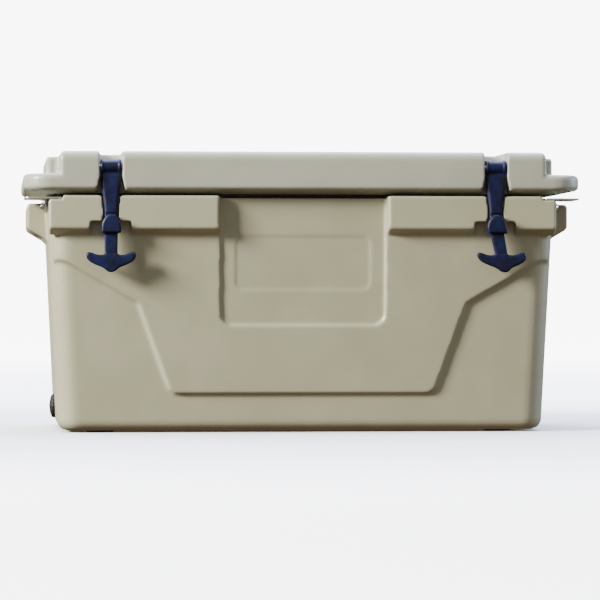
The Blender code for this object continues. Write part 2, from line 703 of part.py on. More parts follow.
def build_lid():
    """The lid moulding, its foam, the plugs of its foam ports and its seal."""
    lid = loft(
        "lid_shell",
        [
            lid_section(LID_UNDER_Z, 33.0, 27.0),
            lid_section(LIP_LOW_Z, 3.0, 2.0),
            lid_section(LIP_LOW_Z + 3.5, 0.0, 0.0),
            lid_section(LIP_TOP_Z - LIP_R, 0.0, 0.0),
            lid_section(LIP_TOP_Z - LIP_R * 0.5, 1.0, 1.0),
            lid_section(LIP_TOP_Z - LIP_R * 0.134, 3.5, 3.5),
            lid_section(LIP_TOP_Z, 7.0, 7.0),
        ],
        PLASTIC,
    )
    combine(lid, "UNION", lid_crown(), *end_bosses(), *lid_arms())
    lean = WALL + PLUG_CLEAR
    low = (-BODY_HALF_X + lean, BODY_FRONT + lean)
    high = (BODY_HALF_X - lean, BODY_BACK - lean)
    plug = loft(
        "tool_plug",
        [
            standing(rounded_box_outline((low[0] + 2, low[1] + 2), (high[0] - 2, high[1] - 2), 22.0), PLUG_Z),
            standing(rounded_box_outline(low, high, 24.0), PLUG_Z + 4.0),
            standing(rounded_box_outline(low, high, 24.0), LID_UNDER_Z + STICK),
        ],
    )
    combine(lid, "UNION", plug)
    combine(lid, "DIFFERENCE", *latch_recess(-1), *latch_recess(1), *hinge_bores_lid())
    seat = rounded_box_outline((-SEAT_HALF_X, SEAT_Y[0]), (SEAT_HALF_X, SEAT_Y[1]), 20.0)
    combine(lid, "DIFFERENCE", prism_z("tool_seat", seat, LID_TOP_Z - SEAT_DEEP, LID_TOP_Z + BEYOND))
    combine(lid, "DIFFERENCE", seal_ring("lid_seal_groove", GAP, LID_UNDER_Z - BEYOND / 4, LID_UNDER_Z + SEAL_DEEP))
    combine(lid, "DIFFERENCE", lid_hollow("tool_lid_hollow", 0.0))
    for label, side in (("left", -1), ("right", 1)):
        hole = (side * LOCK_HOLE[0], LOCK_HOLE[1], 0)
        combine(lid, "DIFFERENCE", rod(f"tool_lock_{label}", LOCK_HOLE_R, 300, 400, "Z", hole, steps=20))
        pin = (side * LATCH_X, LATCH_Y, LATCH_Z)
        reach = LATCH_PIN_HALF + GAP
        combine(lid, "DIFFERENCE", rod(f"tool_pin_{label}", LATCH_PIN_R + GAP, -reach, reach, "X", pin, steps=16))
        port = (side * PORT_X, 0, 0)
        combine(lid, "DIFFERENCE", rod(f"tool_lid_port_{label}", PORT_R, 300, PLUG_Z + SKIN + 2.0, "Z", port))
        rod(f"lid_port_plug_{label}", PORT_R - GAP, PLUG_Z + 0.5, PLUG_Z + SKIN - GAP, "Z", port, DARK_PLASTIC, chamfer=0.8)
    lid_hollow("lid_foam", GAP, FOAM)
    seal_ring("lid_seal", 0.0, RIM_Z + GAP, LID_UNDER_Z + SEAL_DEEP - GAP, DARK_RUBBER)
    return lid


def hinge_bores_lid():
    """The same bores again, as the lid's own cutters."""
    return [
        rod(f"tool_arm_bore_{side}", PIN_R + GAP, -PIN_HALF, PIN_HALF, "X", (side * HINGE_X, HINGE_Y, HINGE_Z))
        for side in (-1, 1)
    ]


# ---------------------------------------------------------------- latches, plates, pins


def leaning(points, lean):
    """Outline points pushed sideways below the top of the tail, the lower the more."""
    low = ANCHOR[-1][1]
    made = []
    for x, z in points:
        share = max(0.0, (TAIL_TOP_Z - z) / (TAIL_TOP_Z - low))
        made.append((x + lean * share, z))
    return made


def build_latch(label, side):
    """One rubber latch: roller, strap, hook, tail and anchor-shaped pull, and the steel pin it turns on."""
    x = side * LATCH_X
    lean = TAIL_LEAN[label]
    centre = (x, LATCH_Y, LATCH_Z)
    latch = rod(f"latch_{label}", ROLLER_R, -ROLLER_HALF, ROLLER_HALF, "X", centre, RUBBER, steps=32, chamfer=1.5)
    tail_break = [(8.6, TAIL_TOP_Z), (8.5, 270.0)]
    strap_half = STRAP[:-1] + tail_break + STRAP[-1:]
    strap = [(x + px, pz) for px, pz in leaning(mirrored(strap_half), lean)]
    anchor = [(x + px, pz) for px, pz in leaning(mirrored(ANCHOR), lean)]
    hook = [(x + px, pz) for px, pz in mirrored(HOOK)]
    combine(latch, "UNION", prism_y(f"tool_latch_strap_{label}", strap, *STRAP_Y))
    combine(latch, "UNION", prism_y(f"tool_latch_anchor_{label}", anchor, *ANCHOR_Y))
    combine(latch, "UNION", prism_y(f"tool_latch_hook_{label}", hook, *HOOK_Y))
    combine(latch, "DIFFERENCE", rod(f"tool_latch_bore_{label}", LATCH_PIN_R + GAP, -30, 30, "X", centre, steps=16))
    rod(f"latch_pin_{label}", LATCH_PIN_R, -LATCH_PIN_HALF, LATCH_PIN_HALF, "X", centre, STEEL, steps=20, chamfer=0.5)


def build_plate(label, side):
    """One lock plate with its down-turned flange, padlock hole and opener mouth, and its two screws."""
    low_z = SHOULDER_Z + GAP
    xs = sorted(side * v for v in PLATE_X)
    outline = rounded_box_outline((xs[0], PLATE_Y[0]), (xs[1], PLATE_Y[1]), 7.0, 5)
    plate = prism_z(f"lock_plate_{label}", outline, low_z, low_z + PLATE_THICK, STEEL)
    flange_x = BODY_HALF_X + GAP
    flange_xs = sorted((side * flange_x, side * (flange_x + PLATE_THICK)))
    flange_low = (flange_xs[0], FLANGE_Y[0], FLANGE_LOW_Z)
    flange_high = (flange_xs[1], FLANGE_Y[1], low_z + PLATE_THICK / 2)
    combine(plate, "UNION", box(f"tool_flange_{label}", flange_low, flange_high))
    hole = (side * LOCK_HOLE[0], LOCK_HOLE[1], 0)
    combine(plate, "DIFFERENCE", rod(f"tool_plate_hole_{label}", LOCK_HOLE_R, 300, 350, "Z", hole, steps=24))
    mouth_xs = sorted(side * v for v in OPENER_X)
    mouth = rounded_box_outline((mouth_xs[0], OPENER_Y[0]), (mouth_xs[1], OPENER_Y[1]), 5.0, 4)
    combine(plate, "DIFFERENCE", prism_z(f"tool_mouth_plate_{label}", mouth, 300, 350))
    face = BODY_HALF_X + GAP + PLATE_THICK
    for end, y in zip(("front", "rear"), SCREW_Y):
        start = side * (BODY_HALF_X - SCREW_LONG + 1.5)
        profile = [
            (start, 0.8),
            (start + side * 2.5, SCREW_R),
            (side * (face + GAP), SCREW_R),
            (side * (face + GAP), SCREW_HEAD_R),
            (side * (face + GAP + SCREW_HEAD * 0.5), SCREW_HEAD_R),
            (side * (face + GAP + SCREW_HEAD), SCREW_HEAD_R * 0.6),
        ]
        turned(f"plate_screw_{label}_{end}", profile, "X", (0, y, SCREW_Z), STEEL, 20)
        hole = rod(f"tool_plate_screw_{label}_{end}", SCREW_R + GAP, -30, 30, "X", (side * face, y, SCREW_Z), steps=16)
        combine(plate, "DIFFERENCE", hole)


def build_hinge_pin(label, side):
    centre = (side * HINGE_X, HINGE_Y, HINGE_Z)
    rod(f"hinge_pin_{label}", PIN_R, -PIN_HALF, PIN_HALF, "X", centre, STEEL, steps=24, chamfer=1.0)


# ---------------------------------------------------------------- drain and feet


def build_drain():
    """The drain spout in the wall, the washer on its outside and the screw plug that closes it."""
    centre = (0, 0, DRAIN_Z)
    outer = DRAIN_PAD_X - GAP
    face = outer - SPOUT_FLANGE
    tube_r = DRAIN_BORE_R - GAP
    spout = turned(
        "drain_spout",
        [
            (face, SPOUT_BORE_R),
            (face, SPOUT_FLANGE_R - 1.5),
            (face + 1.5, SPOUT_FLANGE_R),
            (outer, SPOUT_FLANGE_R),
            (outer, tube_r),
            (SPOUT_IN_X, tube_r),
            (SPOUT_IN_X, SPOUT_BORE_R),
            (face, SPOUT_BORE_R),
        ],
        "X",
        centre,
        DARK_PLASTIC,
        36,
    )
    washer_in = face - GAP
    washer_out = washer_in - WASHER_THICK
    ring("drain_washer", washer_out, washer_in, PLUG_STEM_R + GAP, WASHER_R, "X", centre, DARK_RUBBER, 32)
    cap_in = washer_out - GAP
    dome_steps = 6
    dome_r = PLUG_CAP_R - 1.0
    profile = [
        (face + PLUG_STEM, PLUG_STEM_R - 1.0),
        (face + PLUG_STEM - 1.0, PLUG_STEM_R),
        (cap_in, PLUG_STEM_R),
        (cap_in, dome_r),
        (cap_in - 1.0, PLUG_CAP_R),
        (cap_in - PLUG_CAP + 1.0, PLUG_CAP_R),
    ]
    for k in range(dome_steps):
        angle = math.radians(90 * k / dome_steps)
        profile.append((cap_in - PLUG_CAP - PLUG_DOME * math.sin(angle), dome_r * math.cos(angle)))
    turned("drain_plug", profile, "X", centre, DARK_RUBBER, 36)
    return spout


def build_feet():
    """Four rubber feet, each held by a screw up into the base."""
    for name, (x, y) in feet_places().items():
        profile = [
            (0.0, FOOT_SCREW_R + GAP),
            (0.0, FOOT_R - 1.5),
            (1.5, FOOT_R),
            (FOOT_THICK, FOOT_R),
            (FOOT_THICK, FOOT_SCREW_R + GAP),
            (3.6, FOOT_SCREW_R + GAP),
            (3.6, FOOT_SCREW_R + 2.8),
            (0.0, FOOT_SCREW_R + 2.8),
        ]
        outer = profile[1:5] + profile[5:] + [profile[1]]
        turned(f"foot_{name}", outer, "Z", (x, y, 0), DARK_RUBBER, 32)
        screw = [
            (1.0, FOOT_SCREW_R + 2.2),
            (3.3, FOOT_SCREW_R + 2.2),
            (3.3, FOOT_SCREW_R),
            (12.0, FOOT_SCREW_R),
            (13.5, 0.9),
        ]
        turned(f"foot_screw_{name}", screw, "Z", (x, y, 0), STEEL, 20)


def main():
    clear_scene()
    build_body()
    build_lid()
    for label, side in (("left", -1), ("right", 1)):
        build_latch(label, side)
        build_plate(label, side)
        build_hinge_pin(label, side)
    build_drain()
    build_feet()


main()
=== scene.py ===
"""A rotomoulded cooler chest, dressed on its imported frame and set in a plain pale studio."""

from __future__ import annotations

import logging
import math
from dataclasses import dataclass
from enum import Enum
from typing import Iterable, Sequence

import bmesh
import bpy
from mathutils import Matrix, Vector


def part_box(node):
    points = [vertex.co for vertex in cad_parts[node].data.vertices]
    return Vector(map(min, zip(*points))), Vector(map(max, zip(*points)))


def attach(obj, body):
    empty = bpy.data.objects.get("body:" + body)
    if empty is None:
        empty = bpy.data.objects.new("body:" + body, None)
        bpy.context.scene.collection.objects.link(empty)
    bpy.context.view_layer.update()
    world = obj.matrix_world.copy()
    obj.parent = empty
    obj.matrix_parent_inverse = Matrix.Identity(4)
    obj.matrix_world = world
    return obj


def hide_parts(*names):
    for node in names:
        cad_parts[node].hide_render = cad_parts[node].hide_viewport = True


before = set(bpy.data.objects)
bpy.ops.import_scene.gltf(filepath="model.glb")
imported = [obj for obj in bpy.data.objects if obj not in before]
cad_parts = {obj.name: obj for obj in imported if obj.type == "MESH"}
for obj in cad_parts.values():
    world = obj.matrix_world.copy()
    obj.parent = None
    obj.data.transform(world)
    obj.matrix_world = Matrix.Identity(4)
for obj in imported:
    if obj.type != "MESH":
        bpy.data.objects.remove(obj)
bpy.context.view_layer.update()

MM = 0.001
BODY_PORT_TOP_Z = 6.8
LID_PORT_TOP_Z = 319.5
RIGHT_TAIL_LEAN = 12.0
LOG = logging.getLogger("cooler")

Colour = tuple[float, float, float, float]
Point2 = tuple[float, float]
Vector3 = tuple[float, float, float]


class Side(Enum):
    """An end of the chest, seen from its front."""

    LEFT = -1
    RIGHT = 1

    @property
    def label(self) -> str:
        """The side's name as the frame's nodes use it."""
        return self.name.lower()


class Slot(Enum):
    """The record's material slots."""

    SHELL = "shell_plastic"
    FOAM = "foam"
    LATCH = "latch_rubber"
    RUBBER = "seal_rubber"
    NYLON = "drain_nylon"
    STEEL = "steel"


# ---------------------------------------------------------------- materials


def linear(code: str) -> Colour:
    """Turns an sRGB hex colour into the linear values a shader takes.

    Args:
        code: six hex digits, with or without a leading hash.

    Returns:
        Red, green, blue and an alpha of one.
    """
    digits = code.lstrip("#")
    made = []
    for k in (0, 2, 4):
        value = int(digits[k : k + 2], 16) / 255
        made.append(value / 12.92 if value <= 0.04045 else ((value + 0.055) / 1.055) ** 2.4)
    return (made[0], made[1], made[2], 1.0)


def add_node(
    tree: bpy.types.NodeTree, kind: str, settings: dict[str, object] | None = None, **sockets: object
) -> bpy.types.Node:
    """Adds one node with its settings, its fixed inputs and its links.

    Args:
        tree: the node tree it goes in.
        kind: the node's type name without the ShaderNode prefix.
        settings: node properties by name.
        sockets: inputs by name with underscores for spaces, or by number as in0, in1; a socket is linked.

    Returns:
        The new node.
    """
    node = tree.nodes.new("ShaderNode" + kind)
    for name, value in (settings or {}).items():
        setattr(node, name, value)
    for name, value in sockets.items():
        key: int | str = int(name[2:]) if name.startswith("in") and name[2:].isdigit() else name.replace("_", " ")
        target = node.inputs[key]
        if isinstance(value, bpy.types.NodeSocket):
            tree.links.new(value, target)
        else:
            target.default_value = value
    return node


def ramp(tree: bpy.types.NodeTree, factor: bpy.types.NodeSocket, *stops: tuple[float, Colour]) -> bpy.types.NodeSocket:
    """A colour ramp over the factor.

    Args:
        tree: the node tree.
        factor: the value that picks the colour.
        stops: position and colour pairs in rising order.

    Returns:
        The ramp's colour output.
    """
    node = add_node(tree, "ValToRGB", Fac=factor)
    elements = node.color_ramp.elements
    while len(elements) < len(stops):
        elements.new(0.5)
    for element, (position, colour) in zip(elements, stops):
        element.position = position
        element.color = colour
    return node.outputs["Color"]


def grey(value: float) -> Colour:
    """A grey colour for a ramp that gives a number."""
    return (value, value, value, 1.0)


@dataclass(frozen=True)
class Finish:
    """What every finish shares: a name, a base colour and the shader's fixed numbers."""

    name: str
    base: str
    roughness: float = 0.5
    metallic: float = 0.0
    ior: float = 1.5

    def make(self) -> bpy.types.Material:
        """Makes the material, or finds the one already made.

        Returns:
            The finished material.
        """
        found = bpy.data.materials.get(self.name)
        if found:
            return found
        made = bpy.data.materials.new(self.name)
        made.use_nodes = True
        tree = made.node_tree
        shader = tree.nodes["Principled BSDF"]
        shader.inputs["Base Color"].default_value = linear(self.base)
        shader.inputs["Roughness"].default_value = self.roughness
        shader.inputs["Metallic"].default_value = self.metallic
        if not self.metallic:
            shader.inputs["IOR"].default_value = self.ior
        coords = add_node(tree, "TexCoord").outputs["Object"]
        self.dress(tree, shader, coords)
        return made

    def dress(self, tree: bpy.types.NodeTree, shader: bpy.types.Node, coords: bpy.types.NodeSocket) -> None:
        """Adds the finish's own pattern. The plain finish has none."""


def noise(
    tree: bpy.types.NodeTree, coords: bpy.types.NodeSocket, size_mm: float, detail: float = 3.0, rough: float = 0.5
) -> bpy.types.NodeSocket:
    """Noise whose blobs are about size_mm across."""
    made = add_node(tree, "TexNoise", Vector=coords, Scale=1000.0 / size_mm, Detail=detail, Roughness=rough)
    return made.outputs["Fac"]


@dataclass(frozen=True)
class RotomouldedPolyethylene(Finish):
    """Rotomoulded LLDPE: a satin skin with fine orange peel from the mould, faint pigment mottling, and scuffs."""

    cloud: str = "#9b987e"
    fleck: str = "#767156"
    # orange peel off a rotomould is really this wide
    peel_mm: float = 1.6
    peel_high_mm: float = 0.035
    cloud_mm: float = 90.0
    fleck_mm: float = 2.2
    scuff_mm: float = 26.0
    wave_mm: float = 60.0
    wave_high_mm: float = 1.2

    def dress(self, tree: bpy.types.NodeTree, shader: bpy.types.Node, coords: bpy.types.NodeSocket) -> None:
        """Adds mottling, flecks, orange peel and a roughness that wanders.

        Args:
            tree: the material's node tree.
            shader: its Principled shader.
            coords: Object coordinates, in metres.
        """
        mottle = noise(tree, coords, self.cloud_mm, 4.0)
        clouds = ramp(tree, mottle, (0.35, linear(self.base)), (0.7, linear(self.cloud)))
        specks = ramp(tree, noise(tree, coords, self.fleck_mm, 2.0, 0.7), (0.70, grey(0.0)), (0.78, grey(0.35)))
        mix = add_node(tree, "Mix", {"data_type": "RGBA"}, in0=specks, in6=clouds, in7=linear(self.fleck))
        tree.links.new(mix.outputs[2], shader.inputs["Base Color"])
        scuffs = add_node(tree, "Mapping", Vector=coords, Scale=(1.0, 1.0, 5.0)).outputs["Vector"]
        dull = ramp(
            tree,
            noise(tree, scuffs, self.scuff_mm, 6.0, 0.65),
            (0.4, grey(self.roughness - 0.05)),
            (0.72, grey(self.roughness + 0.12)),
        )
        tree.links.new(dull, shader.inputs["Roughness"])
        peel = add_node(
            tree, "Bump", Height=noise(tree, coords, self.peel_mm, 2.0), Strength=0.55, Distance=self.peel_high_mm * MM
        )
        waves = add_node(
            tree,
            "Bump",
            Height=noise(tree, coords, self.wave_mm, 1.0),
            Strength=0.5,
            Distance=self.wave_high_mm * MM,
            Normal=peel.outputs[0],
        )
        tree.links.new(waves.outputs[0], shader.inputs["Normal"])


@dataclass(frozen=True)
class MouldedRubber(Finish):
    """Compression-moulded EPDM: a dark, slightly waxy skin with a fine eroded grain and pale bloom in patches."""

    bloom: str = "#3a3f55"
    # the real grain is about 0.2 mm, drawn coarser so that it shows
    grain_mm: float = 0.9
    patch_mm: float = 14.0
    dull_mm: float = 8.0

    def dress(self, tree: bpy.types.NodeTree, shader: bpy.types.Node, coords: bpy.types.NodeSocket) -> None:
        """Adds the bloom, the grain and dull patches.

        Args:
            tree: the material's node tree.
            shader: its Principled shader.
            coords: Object coordinates, in metres.
        """
        blotches = noise(tree, coords, self.patch_mm, 4.0)
        patches = ramp(tree, blotches, (0.42, linear(self.base)), (0.8, linear(self.bloom)))
        tree.links.new(patches, shader.inputs["Base Color"])
        dull = ramp(
            tree,
            noise(tree, coords, self.dull_mm, 4.0),
            (0.35, grey(self.roughness - 0.06)),
            (0.7, grey(self.roughness + 0.12)),
        )
        tree.links.new(dull, shader.inputs["Roughness"])
        grain = add_node(
            tree, "Bump", Height=noise(tree, coords, self.grain_mm, 2.0), Strength=0.5, Distance=0.00006
        )
        tree.links.new(grain.outputs[0], shader.inputs["Normal"])


@dataclass(frozen=True)
class StainlessSheet(Finish):
    """Cold-rolled stainless sheet with a brushed finish: fine lines one way and a few wandering scratches."""

    # real brushing lines are about 0.1 mm apart, drawn coarser so that they show
    line_mm: float = 0.5
    stretch: Vector3 = (0.04, 1.0, 1.0)

    def dress(self, tree: bpy.types.NodeTree, shader: bpy.types.Node, coords: bpy.types.NodeSocket) -> None:
        """Adds brushing lines to the colour, the roughness and the bump.

        Args:
            tree: the material's node tree.
            shader: its Principled shader.
            coords: Object coordinates, in metres.
        """
        along = add_node(tree, "Mapping", Vector=coords, Scale=self.stretch).outputs["Vector"]
        lines = noise(tree, along, self.line_mm, 4.0, 0.6)
        tint = ramp(tree, lines, (0.3, linear(self.base)), (0.75, linear("#dfe0e0")))
        tree.links.new(tint, shader.inputs["Base Color"])
        dull = ramp(tree, lines, (0.3, grey(self.roughness - 0.07)), (0.7, grey(self.roughness + 0.1)))
        tree.links.new(dull, shader.inputs["Roughness"])
        bump = add_node(tree, "Bump", Height=lines, Strength=0.3, Distance=0.00003)
        tree.links.new(bump.outputs[0], shader.inputs["Normal"])


@dataclass(frozen=True)
class MouldedNylon(Finish):
    """Injection-moulded black nylon: a spark-eroded matt grain with slightly shiny rubbed patches."""

    # the real grain is about 0.15 mm, drawn coarser so that it shows
    grain_mm: float = 0.8

    def dress(self, tree: bpy.types.NodeTree, shader: bpy.types.Node, coords: bpy.types.NodeSocket) -> None:
        """Adds the grain and the rubbed patches.

        Args:
            tree: the material's node tree.
            shader: its Principled shader.
            coords: Object coordinates, in metres.
        """
        tint = ramp(tree, noise(tree, coords, 9.0), (0.4, linear(self.base)), (0.75, linear("#35322f")))
        tree.links.new(tint, shader.inputs["Base Color"])
        dull = ramp(
            tree, noise(tree, coords, 7.0), (0.4, grey(self.roughness - 0.1)), (0.7, grey(self.roughness + 0.1))
        )
        tree.links.new(dull, shader.inputs["Roughness"])
        bump = add_node(tree, "Bump", Height=noise(tree, coords, self.grain_mm), Strength=0.4, Distance=0.00005)
        tree.links.new(bump.outputs[0], shader.inputs["Normal"])


@dataclass(frozen=True)
class CellularFoam(Finish):
    """Poured polyurethane foam: a dry yellow surface full of small open cells."""

    # real cells are about 0.4 mm, drawn coarser so that they show
    cell_mm: float = 1.5

    def dress(self, tree: bpy.types.NodeTree, shader: bpy.types.Node, coords: bpy.types.NodeSocket) -> None:
        """Adds cells to the bump, and darkens the colour in the cell hollows as painted shade.

        Args:
            tree: the material's node tree.
            shader: its Principled shader.
            coords: Object coordinates, in metres.
        """
        cells = add_node(tree, "TexVoronoi", Vector=coords, Scale=1000.0 / self.cell_mm).outputs["Distance"]
        # painted shade: the colour is darker in the cell hollows, where the bump is lowest
        tint = ramp(tree, cells, (0.1, linear("#b59d5c")), (0.5, linear(self.base)))
        tree.links.new(tint, shader.inputs["Base Color"])
        bump = add_node(tree, "Bump", Height=cells, Strength=0.7, Distance=0.0004)
        tree.links.new(bump.outputs[0], shader.inputs["Normal"])


@dataclass(frozen=True)
class StudioPaper(Finish):
    """Matt white background paper with a barely visible tooth, and a painted glow that grows where it climbs away, in
    place of light from behind.
    """

    glow: float = 8.0
    middle_glow: float = 2.5
    near_m: float = 0.45
    middle_m: float = 1.8
    far_m: float = 7.0
    # the real tooth is under 0.5 mm, drawn coarser so that it shows
    tooth_mm: float = 3.0

    def dress(self, tree: bpy.types.NodeTree, shader: bpy.types.Node, coords: bpy.types.NodeSocket) -> None:
        """Adds the paper's tooth and the painted glow that grows outwards.

        Args:
            tree: the material's node tree.
            shader: its Principled shader.
            coords: Object coordinates, in metres.
        """
        bump = add_node(tree, "Bump", Height=noise(tree, coords, self.tooth_mm), Strength=0.1, Distance=0.0001)
        tree.links.new(bump.outputs[0], shader.inputs["Normal"])
        away = add_node(tree, "VectorMath", {"operation": "LENGTH"}, in0=coords).outputs["Value"]
        settings = {"interpolation_type": "SMOOTHSTEP"}
        close = {"From_Min": self.near_m, "From_Max": self.middle_m, "To_Max": self.middle_glow}
        rest = {"From_Min": self.middle_m, "From_Max": self.far_m, "To_Max": self.glow - self.middle_glow}
        inner = add_node(tree, "MapRange", settings, Value=away, **close).outputs["Result"]
        outer = add_node(tree, "MapRange", settings, Value=away, **rest).outputs["Result"]
        total = add_node(tree, "Math", {"operation": "ADD"}, in0=inner, in1=outer).outputs["Value"]
        # painted light: the paper glows, none close to the chest and more the further away it is
        shader.inputs["Emission Color"].default_value = (1.0, 1.0, 1.0, 1.0)
        tree.links.new(total, shader.inputs["Emission Strength"])


SHELL = RotomouldedPolyethylene("rotomoulded_lldpe_sand", "#949277", 0.42, ior=1.51)
LID_SHELL = RotomouldedPolyethylene(
    "rotomoulded_lldpe_lid_sand", "#959685", 0.4, ior=1.51, cloud="#9c9d8c", fleck="#77755f"
)
LATCH_RUBBER = MouldedRubber("moulded_epdm_navy", "#050924", 0.46, ior=1.34, bloom="#0c1744")
SEAL_RUBBER = MouldedRubber("extruded_epdm_black", "#1c1b1a", 0.6, ior=1.52, bloom="#2c2a28")
PLUG_RUBBER = MouldedRubber("moulded_tpe_black", "#100f0e", 0.5, ior=1.45, bloom="#1f1c1a")
FOOT_RUBBER = MouldedRubber("moulded_nitrile_black", "#1d1c1b", 0.7, ior=1.52, bloom="#343230", grain_mm=1.4)
PLATE_STEEL = StainlessSheet("brushed_stainless_sheet", "#c3c5c6", 0.3, 1.0)
SCREW_STEEL = StainlessSheet("turned_stainless_bar", "#bfc0c2", 0.24, 1.0, stretch=(1.0, 1.0, 0.1))
NYLON = MouldedNylon("injection_moulded_nylon", "#24211f", 0.45, ior=1.53)
FOAM = CellularFoam("poured_polyurethane_foam", "#d8c88c", 0.9, ior=1.45)
PAPER = StudioPaper("matt_background_paper", "#f6f6f6", 0.9)


# ---------------------------------------------------------------- mesh helpers


def round_edges(
    bm: bmesh.types.BMesh, edges: Sequence[bmesh.types.BMEdge], round_mm: float, segments: int
) -> None:
    """Rounds edges to a radius in millimetres."""
    bmesh.ops.bevel(
        bm,
        geom=edges,
        offset=round_mm,
        segments=segments,
        profile=0.5,
        affect="EDGES",
        material=-1,
        clamp_overlap=True,
    )


def shape_box(bm: bmesh.types.BMesh, low: Sequence[float], high: Sequence[float], round_mm: float = 0.0) -> None:
    """Adds a box between two corners in millimetres, with rounded edges if asked.

    Args:
        bm: the mesh it is added to.
        low: lowest corner.
        high: highest corner.
        round_mm: edge radius.
    """
    size = Vector(high) - Vector(low)
    middle = (Vector(high) + Vector(low)) / 2
    place = Matrix.Translation(middle) @ Matrix.Diagonal((*size, 1.0))
    made = bmesh.ops.create_cube(bm, size=1.0, matrix=place)
    if round_mm:
        round_edges(bm, list({e for v in made["verts"] for e in v.link_edges}), round_mm, 3)


class Axis(Enum):
    """The direction a turned shape runs in."""

    X = Matrix.Rotation(math.radians(90), 4, "Y")
    Y = Matrix.Rotation(math.radians(-90), 4, "X")
    Z = Matrix.Identity(4)


def shape_turned(
    bm: bmesh.types.BMesh, profile: Sequence[Point2], axis: Axis, centre: Sequence[float], steps: int = 48
) -> list[bmesh.types.BMVert]:
    """Spins a profile into a solid or a ring.

    Args:
        bm: the mesh it is added to.
        profile: radius and height pairs in millimetres, from one end to the other, closed if the ends meet.
        axis: the direction heights run in.
        centre: where radius and height are zero.
        steps: how many facets it has round.

    Returns:
        The new corners.
    """
    closed = profile[0] == profile[-1]
    points = list(profile[:-1] if closed else profile)
    verts = [bm.verts.new((r, 0.0, h)) for r, h in points]
    edges = [bm.edges.new(pair) for pair in zip(verts, verts[1:])]
    if closed:
        edges.append(bm.edges.new((verts[-1], verts[0])))
    before = set(bm.verts) - set(verts)
    bmesh.ops.spin(
        bm,
        geom=verts + edges,
        cent=(0, 0, 0),
        axis=(0, 0, 1),
        angle=2 * math.pi,
        steps=steps,
        use_merge=True,
    )
    made = [v for v in bm.verts if v not in before]
    bmesh.ops.remove_doubles(bm, verts=made, dist=1e-4)
    made = [v for v in bm.verts if v not in before]
    faces = list({f for v in made for f in v.link_faces})
    bmesh.ops.recalc_face_normals(bm, faces=faces)
    bmesh.ops.transform(bm, matrix=Matrix.Translation(Vector(centre)) @ axis.value, verts=made)
    return made


def shape_outline(
    bm: bmesh.types.BMesh, points: Sequence[Point2], y0: float, y1: float, round_mm: float = 0.0, segments: int = 2
) -> None:
    """Pushes an outline in X and Z through from y0 to y1, with rounded rims if asked.

    Args:
        bm: the mesh it is added to.
        points: the outline in millimetres.
        y0: front of the shape.
        y1: back of the shape.
        round_mm: radius along the front and back rims.
        segments: facets across that radius.
    """
    verts = [bm.verts.new((x, y0, z)) for x, z in points]
    face = bm.faces.new(verts)
    pushed = bmesh.ops.extrude_face_region(bm, geom=[face], use_keep_orig=True)["geom"]
    moved = [g for g in pushed if isinstance(g, bmesh.types.BMVert)]
    bmesh.ops.translate(bm, vec=(0, y1 - y0, 0), verts=moved)
    every = verts + moved
    faces = list({f for v in every for f in v.link_faces})
    bmesh.ops.recalc_face_normals(bm, faces=faces)
    if round_mm:
        rims = [e for e in {e for v in every for e in v.link_edges} if abs(e.verts[0].co.y - e.verts[1].co.y) < 1e-6]
        round_edges(bm, rims, round_mm, segments)


def mirrored(points: Sequence[Point2]) -> list[Point2]:
    """A half outline of half widths and heights, closed by its mirror image."""
    return list(points) + [(-x, z) for x, z in reversed(points) if abs(x) > 1e-6]


def finish_mesh(
    name: str, bm: bmesh.types.BMesh, finish: Finish, sharp_deg: float = 40.0, in_mm: bool = True
) -> bpy.types.Object:
    """Makes a bmesh into a shaded object at the origin.

    Args:
        name: the piece's name.
        bm: its shape, freed here.
        finish: what it is made of.
        sharp_deg: edges that turn by more stay sharp.
        in_mm: the shape is in millimetres and is turned to metres.

    Returns:
        The new object.
    """
    if in_mm:
        bmesh.ops.scale(bm, vec=Vector((MM, MM, MM)), verts=bm.verts)
    mesh = bpy.data.meshes.new(name)
    bm.to_mesh(mesh)
    bm.free()
    mesh.shade_smooth()
    mesh.set_sharp_from_angle(angle=math.radians(sharp_deg))
    mesh.materials.append(finish.make())
    obj = bpy.data.objects.new(name, mesh)
    bpy.context.scene.collection.objects.link(obj)
    return obj


def settle(obj: bpy.types.Object, sharp_deg: float | None = None) -> bpy.types.Object:
    """Applies an object's modifiers to its mesh.

    Args:
        obj: the object with live modifiers.
        sharp_deg: sharp angle after they are applied, or none for smooth all over.

    Returns:
        The same object.
    """
    bpy.context.view_layer.update()
    graph = bpy.context.evaluated_depsgraph_get()
    mesh = bpy.data.meshes.new_from_object(obj.evaluated_get(graph))
    materials = [m for m in obj.data.materials]
    obj.modifiers.clear()
    old = obj.data
    mesh.name = old.name
    obj.data = mesh
    if not mesh.materials:
        for material in materials:
            mesh.materials.append(material)
    bpy.data.meshes.remove(old)
    mesh.shade_smooth()
    if sharp_deg is not None:
        mesh.set_sharp_from_angle(angle=math.radians(sharp_deg))
    return obj


@dataclass(frozen=True)
class Softening:
    """How a solid's edges are rounded the way a mould rounds them."""

    voxel_mm: float
    passes: int
    most_triangles: int

    def apply(self, obj: bpy.types.Object) -> bpy.types.Object:
        """Melts the overlapping solids of an object into one skin with soft edges.

        Args:
            obj: an object whose mesh is one or more closed solids.

        Returns:
            The same object with its new skin.
        """
        voxel = self.voxel_mm * MM * 1.0
        remesh = obj.modifiers.new("melt", "REMESH")
        remesh.mode = "VOXEL"
        remesh.voxel_size = voxel
        settle(obj)
        bm = bmesh.new()
        bm.from_mesh(obj.data)
        for _ in range(self.passes):
            bmesh.ops.smooth_vert(bm, verts=bm.verts, factor=0.5, use_axis_x=True, use_axis_y=True, use_axis_z=True)
        bm.to_mesh(obj.data)
        triangles = sum(len(f.verts) - 2 for f in bm.faces)
        bm.free()
        if triangles > self.most_triangles:
            thin = obj.modifiers.new("thin", "DECIMATE")
            thin.ratio = self.most_triangles / triangles
            settle(obj)
        obj.data.shade_smooth()
        return obj


